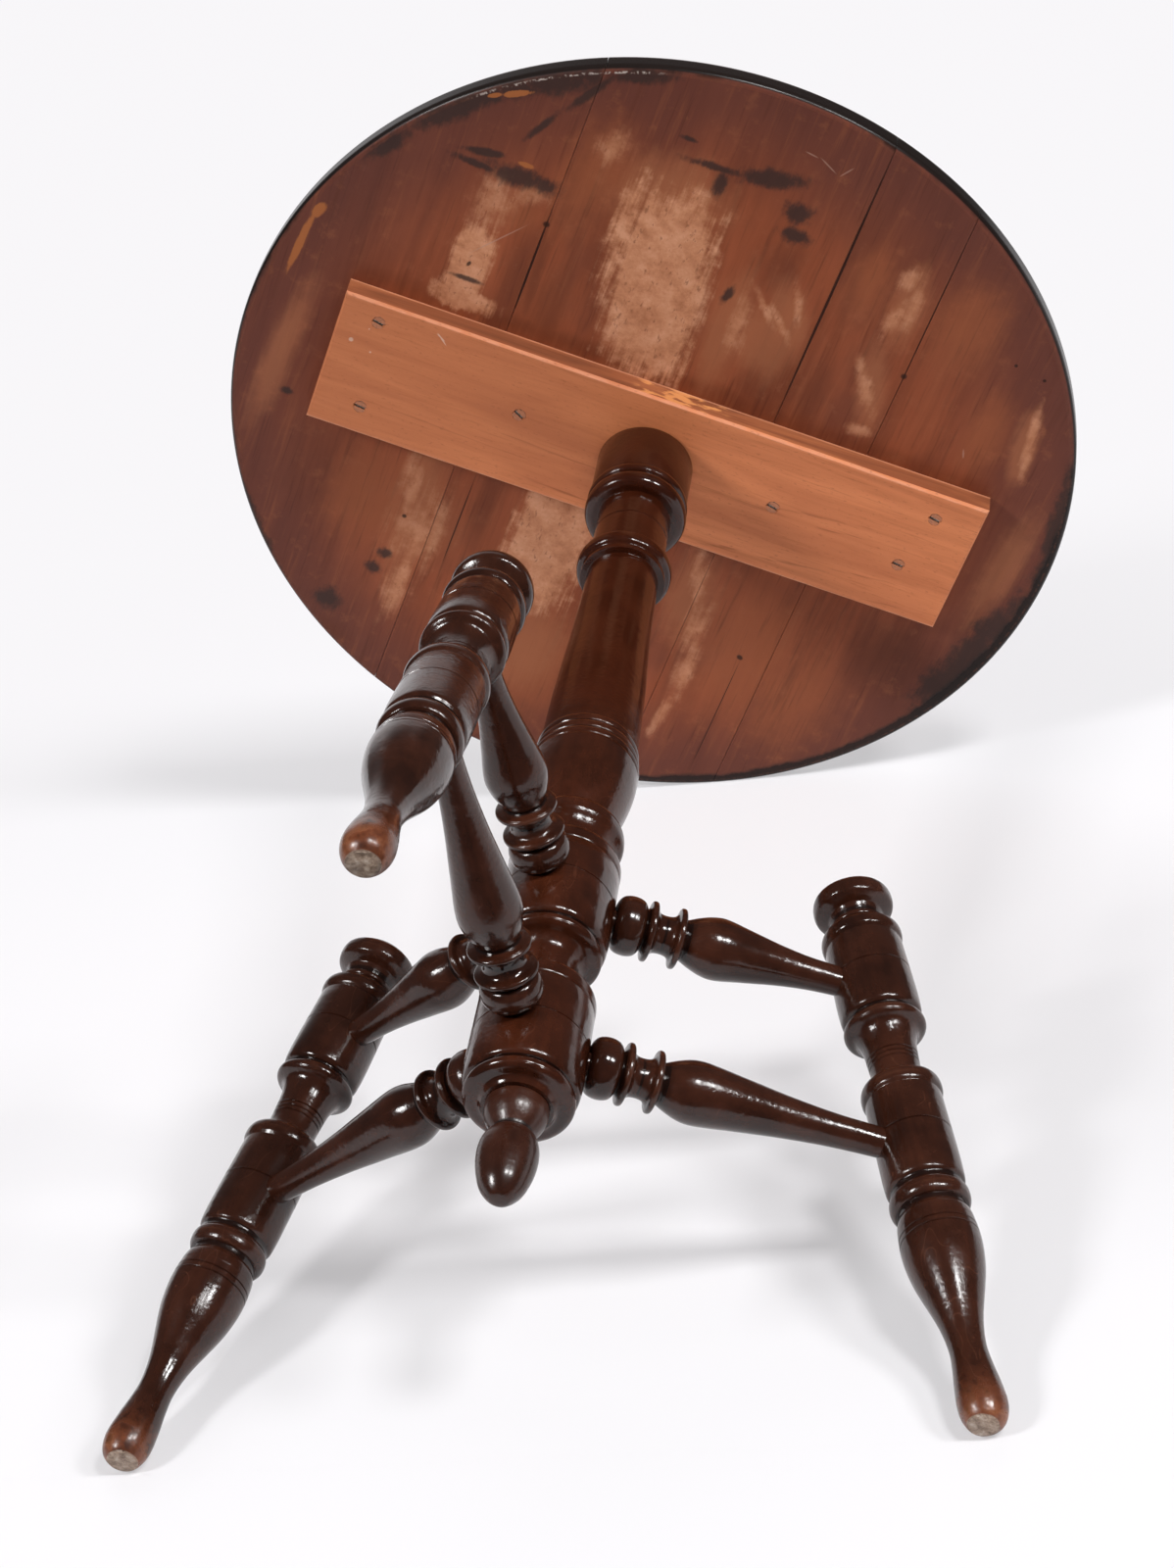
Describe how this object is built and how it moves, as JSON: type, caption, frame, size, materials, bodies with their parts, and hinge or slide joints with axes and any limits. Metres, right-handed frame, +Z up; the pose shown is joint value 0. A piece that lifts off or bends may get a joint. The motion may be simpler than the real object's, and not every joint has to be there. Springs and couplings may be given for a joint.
{
  "type": "round occasional table",
  "caption": "Round wooden occasional table: plank top on a screwed batten, turned column with a drop finial, splayed turned legs held by turned stretchers.",
  "frame": {"origin": "on the floor under the column, at the middle of the footprint", "axes": "+Z up along the column, +X along the batten and over leg 1"},
  "size_m": [0.508, 0.508, 0.684],
  "materials": {
    "top": "worn red-brown polish",
    "batten": "bare, planed",
    "screw": "dark, aged",
    "column": "dark gloss polish",
    "wedge": "bare",
    "finial": "dark gloss polish",
    "leg": "dark gloss polish, worn at the feet",
    "stretcher": "dark gloss polish"
  },
  "bodies": {
    "root": {"top_board_1": "top", "top_board_2": "top", "top_board_3": "top", "top_board_4": "top", "batten": "batten", "batten_screw_1": "screw", "batten_screw_2": "screw", "batten_screw_3": "screw", "batten_screw_4": "screw", "batten_screw_5": "screw", "batten_screw_6": "screw", "column": "column", "tenon_wedge": "wedge", "drop_finial": "finial", "leg_1": "leg", "leg_2": "leg", "leg_3": "leg", "upper_stretcher_1": "stretcher", "upper_stretcher_2": "stretcher", "upper_stretcher_3": "stretcher", "lower_stretcher_1": "stretcher", "lower_stretcher_2": "stretcher", "lower_stretcher_3": "stretcher"}
  },
  "joints": []
}
